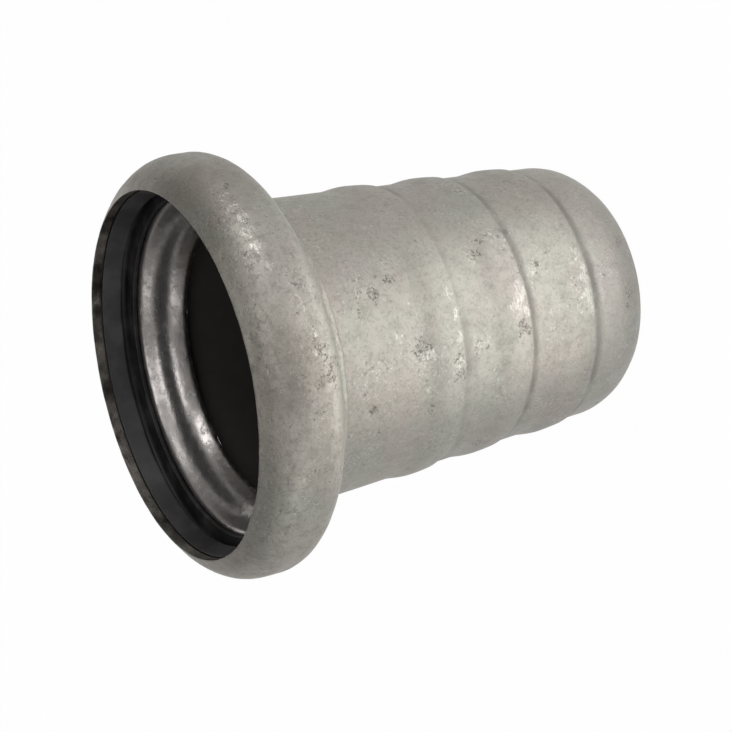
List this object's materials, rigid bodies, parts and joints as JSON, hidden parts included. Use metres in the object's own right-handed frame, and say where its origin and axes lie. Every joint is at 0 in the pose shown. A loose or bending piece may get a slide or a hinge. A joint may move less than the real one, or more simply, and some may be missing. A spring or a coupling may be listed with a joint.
{
  "type": "hose connector",
  "caption": "Socket half of a lever-closed pipe coupling with a rubber sealing ring in its mouth and a ribbed tail for a hose.",
  "frame": {"origin": "centre of the bottom face, on the axis, where the end of the hose tail stands", "axes": "+Z along the axis, from the end of the hose tail to the mouth of the socket; the part is round about Z"},
  "size_m": [0.152, 0.152, 0.176],
  "materials": {
    "socket_steel": "hot-dip galvanised, dull and mottled",
    "tail_steel": "hot-dip galvanised, dull and mottled",
    "weld_steel": "hot-dip galvanised weld",
    "seal_rubber": "matte black rubber"
  },
  "bodies": {
    "root": {"socket": "socket_steel", "hose_tail": "tail_steel", "weld_bead": "weld_steel", "seal_ring": "seal_rubber"}
  },
  "joints": []
}
